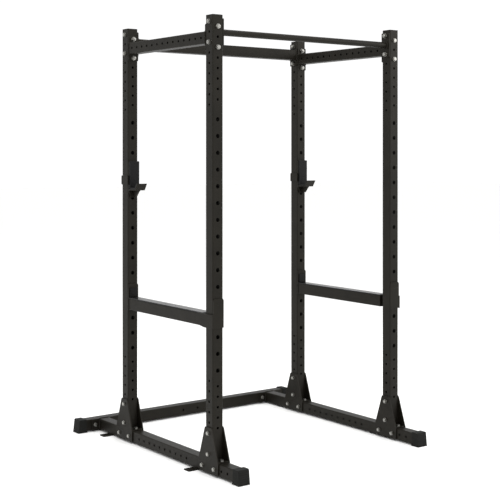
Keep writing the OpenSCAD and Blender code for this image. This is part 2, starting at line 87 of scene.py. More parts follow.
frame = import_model()
CAD_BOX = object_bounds()
MM = 0.001
TAU = 2 * math.pi
HEX = math.pi / 3
SIDES = ("left", "right")
CORNERS = [f"{end}_{side}" for end in ("front", "rear") for side in SIDES]


def linear(hex_colour):
    """An sRGB hex colour as linear red, green and blue."""
    parts = [int(hex_colour[i : i + 2], 16) / 255 for i in (1, 3, 5)]
    return [c / 12.92 if c <= 0.04045 else ((c + 0.055) / 1.055) ** 2.4 for c in parts]


def middle(node):
    """The middle of a CAD node's box."""
    low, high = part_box(node)
    return (low + high) / 2


def extent(node):
    """The size of a CAD node's box."""
    low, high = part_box(node)
    return high - low


# ---- What a user would change ----


def size_property(name, description, default):
    return FloatProperty(
        name=name, description=description, default=default, min=0.0, unit="LENGTH", precision=5
    )


def colour_property(name, description, hex_colour):
    return FloatVectorProperty(
        name=name, description=description, default=linear(hex_colour), min=0.0, max=1.0,
        subtype="COLOR", size=3,
    )


class CageSizes(bpy.types.PropertyGroup):
    """Sizes of the details that the frame leaves to the finish"""

    tube: size_property("Tube", "Width of the square tube", extent("base_rear").z)
    tube_corner: size_property("Tube corner", "Outside corner radius of the square tube", 5 * MM)
    flange: size_property("Flange", "Thickness of the welded flange and foot plates", 6 * MM)
    bar_radius: size_property("Bar radius", "Radius of the pull-up bar", 16 * MM)
    steel_edge: size_property("Steel edge", "Round left on cut steel edges", 0.6 * MM)
    rubber_edge: size_property("Rubber edge", "Round on the moulded rubber edges", 0.5 * MM)
    plastic_edge: size_property("Plastic edge", "Round on plastic and liner edges", 0.6 * MM)
    weld_leg: size_property("Weld leg", "Leg of a fillet weld", 3.6 * MM)
    ripple_pitch: size_property("Weld ripple", "Distance between the ripples of a weld", 2.6 * MM)
    ripple_height: size_property("Ripple height", "Height of the ripples of a weld", 0.3 * MM)
    top_pitch: size_property("Top thread", "Thread pitch of the top bolts", 1.75 * MM)
    base_pitch: size_property("Base thread", "Thread pitch of the base bolts", 1.5 * MM)
    socket: size_property("Screw socket", "Across flats of the liner screws' sockets", 4 * MM)
    turn_seed: IntProperty(
        name="Turn seed", description="How the hexagons happen to be turned", default=11, min=0
    )


class CageFinishes(bpy.types.PropertyGroup):
    """Colours of the finishes"""

    coat: colour_property("Powder coat", "Satin black powder coat", "#12100c")
    coat_worn: colour_property("Worn coat", "Powder coat rubbed at an edge", "#2f2d29")
    zinc: colour_property("Zinc plate", "Bright zinc plate on the hardware", "#9c9b96")
    rubber: colour_property("Rubber", "Moulded black rubber of the boots", "#10100e")
    plastic: colour_property("Plastic", "Moulded black plastic of caps and liners", "#090909")
    liner: colour_property("Liner", "Black polyethylene of the safety strips", "#141415")
    black_oxide: colour_property("Black oxide", "Blackened liner screws", "#1b1a1a")
    floor: colour_property("Floor", "Pale studio floor", "#f9f9f8")


# ---- Nodes ----


def add(tree, kind, sockets=None, **settings):
    """Adds one node and sets its settings. A node or socket given for an input is linked, a value is
    set."""
    node = tree.nodes.new(kind)
    for name, value in settings.items():
        setattr(node, name, value)
    for key, value in (sockets or {}).items():
        if isinstance(value, bpy.types.Node):
            value = next(o for o in value.outputs if o.enabled)
        if isinstance(value, bpy.types.NodeSocket):
            tree.links.new(value, node.inputs[key])
        else:
            node.inputs[key].default_value = value
    return node


def per_mm(wavelength):
    """The scale of a noise whose features are this many millimetres apart."""
    return 1 / (wavelength * MM)


# ---- Materials ----


def new_material(name):
    material = bpy.data.materials.new(name)
    material.use_nodes = True
    material.node_tree.nodes.clear()
    return material, material.node_tree


def finish_material(tree, surface, bump_height, bump_mm, strength):
    """Adds the bump and the output to a Principled surface. bump_mm is the height of the relief."""
    bump = add(tree, "ShaderNodeBump", {"Height": bump_height, "Distance": bump_mm * MM,
                                        "Strength": strength})
    tree.links.new(bump.outputs["Normal"], surface.inputs["Normal"])
    add(tree, "ShaderNodeOutputMaterial", {"Surface": surface.outputs["BSDF"]})


def coated_steel(colours):
    """Polyester powder coat, sprayed and baked on blasted steel: satin, with a fine orange peel, a slow
    drift in tone, uneven gloss, and a paler rubbed line where the film is thin on the edges."""
    material, tree = new_material("satin_powder_coated_steel")
    where = add(tree, "ShaderNodeTexCoord").outputs["Object"]
    drift = add(tree, "ShaderNodeTexNoise", {"Vector": where, "Scale": per_mm(90), "Detail": 3.0})
    peel = add(tree, "ShaderNodeTexNoise", {"Vector": where, "Scale": per_mm(1.8), "Detail": 2.0})
    dust = add(tree, "ShaderNodeTexNoise", {"Vector": where, "Scale": per_mm(14), "Detail": 6.0,
                                            "Roughness": 0.7})
    worn = add(tree, "ShaderNodeAttribute", attribute_name="edge_wear")
    rubbed = add(tree, "ShaderNodeMapRange", {"Value": dust.outputs["Fac"], "From Min": 0.46,
                                              "From Max": 0.62})
    edge = add(tree, "ShaderNodeMath", {0: worn.outputs["Fac"], 1: rubbed.outputs["Result"]},
               operation="MULTIPLY")
    tone = add(tree, "ShaderNodeMapRange", {"Value": drift.outputs["Fac"], "From Min": 0.3,
                                            "From Max": 0.7, "To Min": 0.75, "To Max": 1.25})
    coat = add(tree, "ShaderNodeVectorMath", {0: list(colours.coat), "Scale": tone.outputs["Result"]},
               operation="SCALE")
    base = add(tree, "ShaderNodeMix", {0: edge, 6: coat.outputs["Vector"],
                                       7: [*colours.coat_worn, 1.0]}, data_type="RGBA")
    gloss = add(tree, "ShaderNodeMapRange", {"Value": dust.outputs["Fac"], "From Min": 0.3,
                                             "From Max": 0.7, "To Min": 0.40, "To Max": 0.52})
    surface = add(tree, "ShaderNodeBsdfPrincipled", {
        "Base Color": base.outputs[2], "Roughness": gloss.outputs["Result"],
        "Specular IOR Level": 0.16, "Specular Tint": (1.0, 0.97, 0.88, 1.0)})
    finish_material(tree, surface, peel.outputs["Fac"], 0.06, 0.5)
    return material


def zinc_plated_steel(colours):
    """Bright zinc electroplate, barrel plated in a tumbling load: a pale grey metal with cloudy gloss
    and the small knocks that the pieces give each other."""
    material, tree = new_material("bright_zinc_plated_steel")
    where = add(tree, "ShaderNodeTexCoord").outputs["Object"]
    cloud = add(tree, "ShaderNodeTexNoise", {"Vector": where, "Scale": per_mm(7), "Detail": 4.0})
    knocks = add(tree, "ShaderNodeTexVoronoi", {"Vector": where, "Scale": per_mm(2.4)})
    tone = add(tree, "ShaderNodeMapRange", {"Value": cloud.outputs["Fac"], "From Min": 0.3,
                                            "From Max": 0.7, "To Min": 0.82, "To Max": 1.08})
    base = add(tree, "ShaderNodeVectorMath", {0: list(colours.zinc), "Scale": tone.outputs["Result"]},
               operation="SCALE")
    gloss = add(tree, "ShaderNodeMapRange", {"Value": cloud.outputs["Fac"], "From Min": 0.3,
                                             "From Max": 0.7, "To Min": 0.42, "To Max": 0.28})
    surface = add(tree, "ShaderNodeBsdfPrincipled", {
        "Base Color": base.outputs["Vector"], "Metallic": 1.0, "Roughness": gloss.outputs["Result"]})
    finish_material(tree, surface, knocks.outputs["Distance"], 0.05, 0.35)
    return material


def moulded_black(name, colour, grain_mm, rough_low, rough_high, strength):
    """A black moulding whose spark-eroded mould leaves a fine even grain, scuffed here and there."""
    material, tree = new_material(name)
    where = add(tree, "ShaderNodeTexCoord").outputs["Object"]
    grain = add(tree, "ShaderNodeTexNoise", {"Vector": where, "Scale": per_mm(grain_mm), "Detail": 3.0})
    scuff = add(tree, "ShaderNodeTexNoise", {"Vector": where, "Scale": per_mm(22), "Detail": 5.0,
                                             "Roughness": 0.65})
    worn = add(tree, "ShaderNodeAttribute", attribute_name="edge_wear")
    paler = add(tree, "ShaderNodeMath", {0: worn.outputs["Fac"], 1: 0.5, 2: 0.9}, operation="MULTIPLY_ADD")
    tone = add(tree, "ShaderNodeMapRange", {"Value": scuff.outputs["Fac"], "From Min": 0.35,
                                            "From Max": 0.75, "To Min": 0.85, "To Max": 1.5})
    lift = add(tree, "ShaderNodeMath", {0: paler, 1: tone.outputs["Result"]}, operation="MULTIPLY")
    base = add(tree, "ShaderNodeVectorMath", {0: list(colour), "Scale": lift}, operation="SCALE")
    gloss = add(tree, "ShaderNodeMapRange", {"Value": scuff.outputs["Fac"], "From Min": 0.3,
                                             "From Max": 0.7, "To Min": rough_low, "To Max": rough_high})
    surface = add(tree, "ShaderNodeBsdfPrincipled", {
        "Base Color": base.outputs["Vector"], "Roughness": gloss.outputs["Result"],
        "Specular IOR Level": 0.16})
    finish_material(tree, surface, grain.outputs["Fac"], 0.08, strength)
    return material


def boot_rubber(colours):
    """Compression-moulded rubber: dull, with a fine grain and a grey bloom."""
    return moulded_black("moulded_black_rubber", colours.rubber, 1.4, 0.62, 0.8, 0.6)


def moulded_plastic(colours):
    """Injection-moulded polyethylene: smoother than the rubber, with a soft sheen."""
    return moulded_black("moulded_black_polyethylene", colours.plastic, 0.9, 0.42, 0.56, 0.35)


def planed_polyethylene(colours):
    """Sheet polyethylene, planed along its length: black, slick enough to mirror a bright room at a low
    angle, with lengthwise cutter marks and duller rub marks where a bar has rolled across it."""
    material, tree = new_material("planed_black_polyethylene")
    where = add(tree, "ShaderNodeTexCoord").outputs["Object"]
    along = add(tree, "ShaderNodeMapping", {"Vector": where, "Scale": (1.0, 0.03, 1.0)})
    across = add(tree, "ShaderNodeMapping", {"Vector": where, "Scale": (0.12, 1.0, 1.0)})
    # Cutter marks are really about 0.3 mm apart, drawn at 1.2 mm so that they show.
    planed = add(tree, "ShaderNodeTexNoise", {"Vector": along, "Scale": per_mm(1.2), "Detail": 3.0})
    rubs = add(tree, "ShaderNodeTexNoise", {"Vector": across, "Scale": per_mm(11), "Detail": 4.0})
    marks = add(tree, "ShaderNodeMapRange", {"Value": rubs.outputs["Fac"], "From Min": 0.5,
                                             "From Max": 0.72, "To Min": 1.0, "To Max": 1.8})
    grain = add(tree, "ShaderNodeMapRange", {"Value": planed.outputs["Fac"], "From Min": 0.3,
                                             "From Max": 0.7, "To Min": 0.85, "To Max": 1.15})
    tone = add(tree, "ShaderNodeMath", {0: marks.outputs["Result"], 1: grain.outputs["Result"]},
               operation="MULTIPLY")
    base = add(tree, "ShaderNodeVectorMath", {0: list(colours.liner), "Scale": tone}, operation="SCALE")
    gloss = add(tree, "ShaderNodeMapRange", {"Value": rubs.outputs["Fac"], "From Min": 0.45,
                                             "From Max": 0.7, "To Min": 0.24, "To Max": 0.4})
    surface = add(tree, "ShaderNodeBsdfPrincipled", {
        "Base Color": base.outputs["Vector"], "Roughness": gloss.outputs["Result"],
        "Specular IOR Level": 0.2})
    finish_material(tree, surface, planed.outputs["Fac"], 0.02, 0.2)
    return material


def blackened_steel(colours):
    """Black oxide on machined screws: a thin black film over metal, oily and half glossy."""
    material, tree = new_material("black_oxide_steel")
    where = add(tree, "ShaderNodeTexCoord").outputs["Object"]
    oil = add(tree, "ShaderNodeTexNoise", {"Vector": where, "Scale": per_mm(3), "Detail": 4.0})
    gloss = add(tree, "ShaderNodeMapRange", {"Value": oil.outputs["Fac"], "From Min": 0.3,
                                             "From Max": 0.7, "To Min": 0.3, "To Max": 0.5})
    surface = add(tree, "ShaderNodeBsdfPrincipled", {
        "Base Color": [*colours.black_oxide, 1.0], "Metallic": 0.8,
        "Roughness": gloss.outputs["Result"]})
    finish_material(tree, surface, oil.outputs["Fac"], 0.02, 0.3)
    return material


def studio_floor(colours):
    """Painted studio floor: pale and matt, with a faint roller texture."""
    material, tree = new_material("pale_studio_paint")
    where = add(tree, "ShaderNodeTexCoord").outputs["Object"]
    roller = add(tree, "ShaderNodeTexNoise", {"Vector": where, "Scale": per_mm(12), "Detail": 3.0})
    surface = add(tree, "ShaderNodeBsdfPrincipled", {
        "Base Color": [*colours.floor, 1.0], "Roughness": 0.75, "Specular IOR Level": 0.2})
    finish_material(tree, surface, roller.outputs["Fac"], 0.1, 0.15)
    return material


MATERIALS = {
    "coat": coated_steel,
    "zinc": zinc_plated_steel,
    "rubber": boot_rubber,
    "plastic": moulded_plastic,
    "liner": planed_polyethylene,
    "oxide": blackened_steel,
    "floor": studio_floor,
}
# The materials made so far, one for each finish
made_materials = {}


def material_for(finish):
    if finish not in made_materials:
        made_materials[finish] = MATERIALS[finish](bpy.context.scene.cage_finishes)
    return made_materials[finish]


# ---- Meshes ----

SHARP = math.radians(35)
CROWDED = math.radians(25)


def link_object(name, mesh):
    made = bpy.data.objects.new(name, mesh)
    bpy.context.scene.collection.objects.link(made)
    return made


def finish_piece(name, mesh, finish, nodes, body=None):
    """Makes the object of a finished mesh, which stands for these CAD nodes and rides on their body."""
    mesh.polygons.foreach_set("use_smooth", [True] * len(mesh.polygons))
    mesh.set_sharp_from_angle(angle=math.radians(50))
    mesh.materials.clear()
    mesh.materials.append(material_for(finish))
    made = link_object(name, mesh)
    made.modifiers.new("flat_faces", "WEIGHTED_NORMAL").keep_sharp = True
    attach(made, body or frame["nodes"][nodes[0]]["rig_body"])
    if nodes:
        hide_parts(*nodes)
    return made


def edges_to_soften(bm):
    """The sharp edges, without those that meet another one at too small an angle to round."""
    sharp = {e for e in bm.edges if e.is_manifold and e.calc_face_angle() > SHARP}
    crowded = set()
    for vertex in bm.verts:
        meeting = [e for e in vertex.link_edges if e in sharp]
        for a, b in itertools.combinations(meeting, 2):
            ways = [e.other_vert(vertex).co - vertex.co for e in (a, b)]
            if ways[0].angle(ways[1]) < CROWDED:
                crowded |= {a, b}
    return list(sharp - crowded)


def softened(node, width):
    """A copy of a CAD node's mesh with its sharp edges rounded, and the narrow faces that this makes
    marked for wear."""
    bm = bmesh.new()
    bm.from_mesh(frame["nodes"][node].data)
    bmesh.ops.remove_doubles(bm, verts=bm.verts, dist=0.001 * MM)
    bmesh.ops.dissolve_limit(bm, angle_limit=math.radians(0.5), verts=bm.verts, edges=bm.edges)
    wear = bm.faces.layers.float.new("edge_wear")
    rounds = bmesh.ops.bevel(bm, geom=edges_to_soften(bm), offset=width, offset_type="OFFSET",
                             segments=2, profile=0.6, affect="EDGES", clamp_overlap=False,
                             loop_slide=False)
    for face in rounds["faces"]:
        longest = max(edge.calc_length() for edge in face.edges)
        if face.calc_area() < 2 * width * longest:
            face[wear] = 1.0
    bmesh.ops.triangulate(bm, faces=[f for f in bm.faces if len(f.verts) > 4])
    mesh = bpy.data.meshes.new(node)
    bm.to_mesh(mesh)
    bm.free()
    return mesh


def soften_node(node, finish, width):
    return finish_piece(f"{node}_{finish}", softened(node, width), finish, [node])


def rounded_square(half, corner, steps):
    """Points round a square with rounded corners, anticlockwise, as (x, y)."""
    points = []
    for quarter, (sx, sy) in enumerate(((1, 1), (-1, 1), (-1, -1), (1, -1))):
        for i in range(steps + 1):
            turn = (quarter + i / steps) * math.pi / 2
            points.append((sx * (half - corner) + corner * math.cos(turn),
                           sy * (half - corner) + corner * math.sin(turn)))
    return points


def lofted(name, centre, rows, steps):
    """A closed mesh through rounded squares, one for each (half width, corner radius, height) row."""
    bm = bmesh.new()
    rings = []
    for half, corner, height in rows:
        outline = rounded_square(half, corner, steps)
        rings.append([bm.verts.new(centre + Vector((x, y, height))) for x, y in outline])
    count = len(rings[0])
    for low, high in zip(rings, rings[1:]):
        for i in range(count):
            j = (i + 1) % count
            bm.faces.new((low[i], low[j], high[j], high[i]))
    bm.faces.new(reversed(rings[0]))
    bm.faces.new(rings[-1])
    mesh = bpy.data.meshes.new(name)
    bm.to_mesh(mesh)
    bm.free()
    return mesh


def turned_blank(name, rows, sides=36):
    """Spins (radius, height, hexagon, thread) rows about Z. A row of radius 0 is a pole, and a last row
    that repeats the first closes a ring. The last two numbers say how far a row is cut to the hexagon
    and how far it carries the thread."""
    bm = bmesh.new()
    flats = bm.verts.layers.float.new("hexagon")
    threads = bm.verts.layers.float.new("thread")
    ring_shaped = rows[0][:2] == rows[-1][:2]
    rings = []
    for radius, height, hexagon, thread in rows[: -1 if ring_shaped else None]:
        turns = [0.0] if radius == 0 else [TAU * i / sides for i in range(sides)]
        ring = [bm.verts.new((radius * math.cos(t), radius * math.sin(t), height)) for t in turns]
        for vertex in ring:
            vertex[flats] = hexagon
            vertex[threads] = thread
        rings.append(ring)
    if ring_shaped:
        rings.append(rings[0])
    for a, b in zip(rings, rings[1:]):
        for i in range(sides):
            j = (i + 1) % sides
            corners = [a[i % len(a)], a[j % len(a)], b[j % len(b)], b[i % len(b)]]
            bm.faces.new(list(dict.fromkeys(corners)))
    bmesh.ops.recalc_face_normals(bm, faces=bm.faces)
    mesh = bpy.data.meshes.new(name)
    bm.to_mesh(mesh)
    bm.free()
    return link_object(name, mesh)


def separate_solids(node):
    """The points of each separate solid of a CAD node."""
    bm = bmesh.new()
    bm.from_mesh(frame["nodes"][node].data)
    bmesh.ops.remove_doubles(bm, verts=bm.verts, dist=0.001 * MM)
    left, solids = set(bm.verts), []
    while left:
        queue = [left.pop()]
        points = []
        while queue:
            vertex = queue.pop()
            points.append(vertex.co.copy())
            near = {e.other_vert(vertex) for e in vertex.link_edges} & left
            left -= near
            queue.extend(near)
        solids.append(points)
    bm.free()
    return sorted(solids, key=lambda points: [round(c, 4) for c in sum(points, Vector()) / len(points)])


def measure_turned(points, along):
    """Measures a solid of revolution. along picks its axis: max for a long one, min for a flat one.
    Gives its seat, the way from there to its head, and its sizes along and across."""
    low = Vector(map(min, *points))
    high = Vector(map(max, *points))
    size = high - low
    k = list(size).index(along(size))
    centre = (low + high) / 2
    way = Vector((0, 0, 0))
    way[k] = 1.0

    def radius(point):
        across = point - centre
        across[k] = 0
        return across.length

    widest = max(map(radius, points))
    head = [p[k] for p in points if radius(p) > 0.95 * widest]
    ends = [max(radius(p) for p in points if abs(p[k] - end) < 0.1 * MM) for end in (low[k], high[k])]
    if ends[0] > ends[1]:
        way = -way
    seat = centre.copy()
    seat[k] = min(head) if way[k] > 0 else max(head)
    shank = min(ends)
    length = (seat[k] - low[k]) if way[k] > 0 else (high[k] - seat[k])
    return {"seat": seat, "way": way, "head": max(head) - min(head), "widest": widest,
            "narrowest": min(map(radius, points)), "shank": shank, "length": length}


# ---- Geometry Nodes ----


def new_tree(name, inputs):
    """A geometry tree with a Geometry input and output and these named inputs."""
    tree = bpy.data.node_groups.new(name, "GeometryNodeTree")
    tree.interface.new_socket("Geometry", in_out="INPUT", socket_type="NodeSocketGeometry")
    tree.interface.new_socket("Geometry", in_out="OUTPUT", socket_type="NodeSocketGeometry")
    for label, kind in inputs.items():
        tree.interface.new_socket(label, in_out="INPUT", socket_type=f"NodeSocket{kind}")
    return tree, add(tree, "NodeGroupInput").outputs


def end_tree(tree, geometry, given):
    """Ends a tree in Realize Instances and Set Material."""
    real = add(tree, "GeometryNodeRealizeInstances", {0: geometry})
    coated = add(tree, "GeometryNodeSetMaterial", {"Geometry": real, "Material": given["Finish"]})
    add(tree, "NodeGroupOutput", {"Geometry": coated})
    return tree


def run_tree(tree, start, values):
    """Runs a tree on a mesh and gives the plain mesh that comes out."""
    holder = link_object("holder", start)
    modifier = holder.modifiers.new(tree.name, "NODES")
    modifier.node_group = tree
    for item in tree.interface.items_tree:
        if item.in_out == "INPUT" and item.name in values:
            modifier[item.identifier] = values[item.name]
    graph = bpy.context.evaluated_depsgraph_get()
    mesh = bpy.data.meshes.new_from_object(holder.evaluated_get(graph), depsgraph=graph)
    holder.modifiers.clear()
    bpy.data.objects.remove(holder)
    return mesh


def weld_tree():
    """A weld bead along every edge path: a round of metal with even ripples and a slight wander."""
    tree, given = new_tree("weld_bead", {
        "Leg": "Float", "Ripple Pitch": "Float", "Ripple Height": "Float", "Seed": "Float",
        "Finish": "Material"})
    step = add(tree, "ShaderNodeMath", {0: given["Ripple Pitch"], 1: 5.0}, operation="DIVIDE")
    path = add(tree, "GeometryNodeMeshToCurve", {"Mesh": given["Geometry"]})
    fine = add(tree, "GeometryNodeResampleCurve", {"Curve": path, "Length": step}, mode="LENGTH")
    run = add(tree, "GeometryNodeSplineParameter").outputs["Length"]
    marked = add(tree, "GeometryNodeStoreNamedAttribute", {"Geometry": fine, "Name": "weld_run",
                                                           "Value": run}, data_type="FLOAT")
    round_shape = add(tree, "GeometryNodeCurvePrimitiveCircle", {"Resolution": 12, "Radius": given["Leg"]})
    bead = add(tree, "GeometryNodeCurveToMesh", {
        "Curve": marked, "Profile Curve": round_shape.outputs["Curve"], "Fill Caps": True})
    walked = add(tree, "GeometryNodeInputNamedAttribute", {"Name": "weld_run"}, data_type="FLOAT")
    count = add(tree, "ShaderNodeMath", {0: walked.outputs["Attribute"], 1: given["Ripple Pitch"]},
                operation="DIVIDE")
    turn = add(tree, "ShaderNodeMath", {0: count, 1: TAU}, operation="MULTIPLY")
    ripple = add(tree, "ShaderNodeMath", {0: turn}, operation="SINE")
    wander = add(tree, "ShaderNodeTexNoise", {"W": given["Seed"], "Scale": per_mm(9), "Detail": 2.0},
                 noise_dimensions="4D")
    uneven = add(tree, "ShaderNodeMath", {0: wander.outputs["Fac"], 1: 3.0, 2: ripple},
                 operation="MULTIPLY_ADD")
    height = add(tree, "ShaderNodeMath", {0: uneven, 1: given["Ripple Height"]}, operation="MULTIPLY")
    lift = add(tree, "ShaderNodeVectorMath", {
        0: add(tree, "GeometryNodeInputNormal"), "Scale": height}, operation="SCALE")
    rippled = add(tree, "GeometryNodeSetPosition", {"Geometry": bead, "Offset": lift.outputs["Vector"]})
    return end_tree(tree, rippled, given)


def hardware_tree():
    """Cuts the hexagon, its chamfers and the thread on a turned blank, and sets a copy on every seat."""
    tree, given = new_tree("hex_hardware", {
        "Blank": "Object", "Across Flats": "Float", "Flat Circle": "Float", "Height": "Float",
        "Both Ends": "Float", "Thread Pitch": "Float", "Thread Depth": "Float", "Seed": "Int",
        "Finish": "Material"})
    blank = add(tree, "GeometryNodeObjectInfo", {"Object": given["Blank"]}).outputs["Geometry"]
    spot = add(tree, "ShaderNodeSeparateXYZ", {"Vector": add(tree, "GeometryNodeInputPosition")})
    x, y, z = spot.outputs
    flat_spot = add(tree, "ShaderNodeCombineXYZ", {"X": x, "Y": y})
    radius = add(tree, "ShaderNodeVectorMath", {0: flat_spot}, operation="LENGTH").outputs["Value"]
    turn = add(tree, "ShaderNodeMath", {0: y, 1: x}, operation="ARCTAN2")
    hexagon = add(tree, "GeometryNodeInputNamedAttribute", {"Name": "hexagon"}, data_type="FLOAT")
    thread = add(tree, "GeometryNodeInputNamedAttribute", {"Name": "thread"}, data_type="FLOAT")
    # The hexagon's reach at this turn
    sector = add(tree, "ShaderNodeMath", {0: turn, 1: HEX}, operation="FLOORED_MODULO")
    from_flat = add(tree, "ShaderNodeMath", {0: sector, 1: HEX / 2}, operation="SUBTRACT")
    slant = add(tree, "ShaderNodeMath", {0: from_flat}, operation="COSINE")
    half_flats = add(tree, "ShaderNodeMath", {0: given["Across Flats"], 1: 0.5}, operation="MULTIPLY")
    reach = add(tree, "ShaderNodeMath", {0: half_flats, 1: slant}, operation="DIVIDE")
    cut = add(tree, "ShaderNodeMath", {0: radius, 1: reach}, operation="MINIMUM")
    cut_radius = add(tree, "ShaderNodeMix", {0: hexagon.outputs["Attribute"], 2: radius, 3: cut})
    # The thread's groove, one helix round the shank
    rise = add(tree, "ShaderNodeMath", {0: z, 1: given["Thread Pitch"]}, operation="DIVIDE")
    helix = add(tree, "ShaderNodeMath", {0: turn, 1: 1 / TAU, 2: rise}, operation="MULTIPLY_ADD")
    vee = add(tree, "ShaderNodeMath", {0: helix, 1: 0.5}, operation="PINGPONG")
    groove = add(tree, "ShaderNodeMath", {0: vee, 1: 2.0}, operation="MULTIPLY")
    deep = add(tree, "ShaderNodeMath", {0: groove, 1: given["Thread Depth"]}, operation="MULTIPLY")
    threaded = add(tree, "ShaderNodeMath", {0: deep, 1: thread.outputs["Attribute"]},
                   operation="MULTIPLY")
    new_radius = add(tree, "ShaderNodeMath", {0: cut_radius.outputs[0], 1: threaded},
                     operation="SUBTRACT")
    # Chamfers that turn the hexagon's ends down outside the flat circle
    outside = add(tree, "ShaderNodeMath", {0: new_radius, 1: given["Flat Circle"]}, operation="SUBTRACT")
    past = add(tree, "ShaderNodeMath", {0: outside, 1: 0.0}, operation="MAXIMUM")
    drop = add(tree, "ShaderNodeMath", {0: past, 1: math.tan(HEX / 2)}, operation="MULTIPLY")
    top = add(tree, "ShaderNodeMath", {0: given["Height"], 1: drop}, operation="SUBTRACT")
    lowered = add(tree, "ShaderNodeMath", {0: z, 1: top}, operation="MINIMUM")
    turned = add(tree, "ShaderNodeMix", {0: hexagon.outputs["Attribute"], 2: z, 3: lowered})
    raised = add(tree, "ShaderNodeMath", {0: turned.outputs[0], 1: drop}, operation="MAXIMUM")
    ends = add(tree, "ShaderNodeMath", {0: hexagon.outputs["Attribute"], 1: given["Both Ends"]},
               operation="MULTIPLY")
    new_z = add(tree, "ShaderNodeMix", {0: ends, 2: turned.outputs[0], 3: raised})
    old_radius = add(tree, "ShaderNodeMath", {0: radius, 1: 0.001 * MM}, operation="MAXIMUM")
    scale = add(tree, "ShaderNodeMath", {0: new_radius, 1: old_radius}, operation="DIVIDE")
    new_x = add(tree, "ShaderNodeMath", {0: x, 1: scale}, operation="MULTIPLY")
    new_y = add(tree, "ShaderNodeMath", {0: y, 1: scale}, operation="MULTIPLY")
    place = add(tree, "ShaderNodeCombineXYZ", {"X": new_x, "Y": new_y, "Z": new_z.outputs[0]})
    machined = add(tree, "GeometryNodeSetPosition", {"Geometry": blank, "Position": place})
    # One on every seat, pointing its way and turned at random
    way = add(tree, "GeometryNodeInputNamedAttribute", {"Name": "way"}, data_type="FLOAT_VECTOR")
    upright = add(tree, "FunctionNodeAlignRotationToVector", {"Vector": way}, axis="Z")
    chance = add(tree, "FunctionNodeRandomValue", {2: 0.0, 3: TAU, "Seed": given["Seed"]},
                 data_type="FLOAT")
    spin = add(tree, "FunctionNodeAxisAngleToRotation", {
        "Axis": (0.0, 0.0, 1.0), "Angle": chance.outputs[1]})
    aim = add(tree, "FunctionNodeRotateRotation", {"Rotation": upright, "Rotate By": spin},
              rotation_space="LOCAL")
    copies = add(tree, "GeometryNodeInstanceOnPoints", {
        "Points": given["Geometry"], "Instance": machined, "Rotation": aim})
    return end_tree(tree, copies, given)


made_trees = {}


def tree_for(maker):
    if maker not in made_trees:
        made_trees[maker] = maker()
    return made_trees[maker]


# ---- Hardware ----

CHAMFER_START = 0.94     # flat circle of a hexagon, as a share of half its across flats


def set_hardware(name, node, finish, measures, rows, sizes):
    """Sets copies of a turned blank where the CAD node's solids are."""
    seats = bpy.data.meshes.new(name)
    seats.from_pydata([m["seat"] for m in measures], [], [])
    ways = seats.attributes.new("way", "FLOAT_VECTOR", "POINT")
    for i, m in enumerate(measures):
        ways.data[i].vector = m["way"]
    blank = turned_blank(f"{name}_blank", rows)
    values = {"Blank": blank, "Both Ends": 0.0, "Thread Pitch": 1.0, "Thread Depth": 0.0,
              "Seed": bpy.context.scene.cage_sizes.turn_seed, "Finish": material_for(finish), **sizes}
    mesh = run_tree(tree_for(hardware_tree), seats, values)
    bpy.data.objects.remove(blank)
    return finish_piece(name, mesh, finish, [node])


def thread_rows(radius, start, end, pitch):
    """Rows of a threaded length, four to each turn of the thread."""
    count = math.ceil((start - end) / pitch * 4)
    return [(radius, start + (end - start) * i / count, 0, min(1, i, count - i))
            for i in range(count + 1)]


def hex_bolts(node, pitch):
    measures = [measure_turned(p, max) for p in separate_solids(node)]
    one = measures[0]
    half_flats = one["widest"] * math.cos(HEX / 2)
    flat_circle = CHAMFER_START * half_flats
    shank, length, face = one["shank"], one["length"], 0.4 * MM
    tip = 0.8 * MM
    threaded = min(0.6 * length, 24 * MM)
    rows = [(0, one["head"], 0, 0), (0.6 * flat_circle, one["head"], 0, 0),
            (flat_circle, one["head"], 0, 0), (one["widest"], one["head"], 1, 0),
            (one["widest"], face, 1, 0), (flat_circle, face, 0, 0), (flat_circle, 0, 0, 0),
            (shank, 0, 0, 0), (shank, threaded - length, 0, 0),
            *thread_rows(shank, threaded - length - 0.1 * MM, tip - length, pitch),
            (shank - tip, -length, 0, 0), (0, -length, 0, 0)]
    return set_hardware(f"{node}_zinc", node, "zinc", measures, rows, {
        "Across Flats": 2 * half_flats, "Flat Circle": flat_circle, "Height": one["head"],
        "Thread Pitch": pitch, "Thread Depth": 0.61 * pitch})


def hex_nuts(node):
    measures = [measure_turned(p, min) for p in separate_solids(node)]
    one = measures[0]
    half_flats = one["widest"] * math.cos(HEX / 2)
    flat_circle, bore, height = CHAMFER_START * half_flats, one["narrowest"], one["head"]
    lead = 0.8 * MM
    rows = [(bore, lead, 0, 0), (bore, height - lead, 0, 0), (bore + lead, height, 0, 0),
            (flat_circle, height, 0, 0), (one["widest"], height, 1, 0), (one["widest"], 0, 1, 0),
            (flat_circle, 0, 0, 0), (bore + lead, 0, 0, 0), (bore, lead, 0, 0)]
    return set_hardware(f"{node}_zinc", node, "zinc", measures, rows, {
        "Across Flats": 2 * half_flats, "Flat Circle": flat_circle, "Height": height,
        "Both Ends": 1.0})


def washers(node):
    """Punched washers, with one edge drawn round by the punch."""
    measures = [measure_turned(p, min) for p in separate_solids(node)]
    one = measures[0]
    bore, rim, height = one["narrowest"], one["widest"], one["head"]
    burr = 0.15 * MM
    draw = 0.5 * MM
    rows = [(bore, burr, 0, 0), (bore, height - draw, 0, 0), (bore + draw, height, 0, 0),
            (rim - draw, height, 0, 0), (rim - 0.3 * draw, height - 0.3 * draw, 0, 0),
            (rim, height - draw, 0, 0), (rim, burr, 0, 0), (rim - burr, 0, 0, 0),
            (bore + burr, 0, 0, 0), (bore, burr, 0, 0)]
    return set_hardware(f"{node}_zinc", node, "zinc", measures, rows, {
        "Across Flats": 4 * rim, "Flat Circle": 2 * rim, "Height": height})


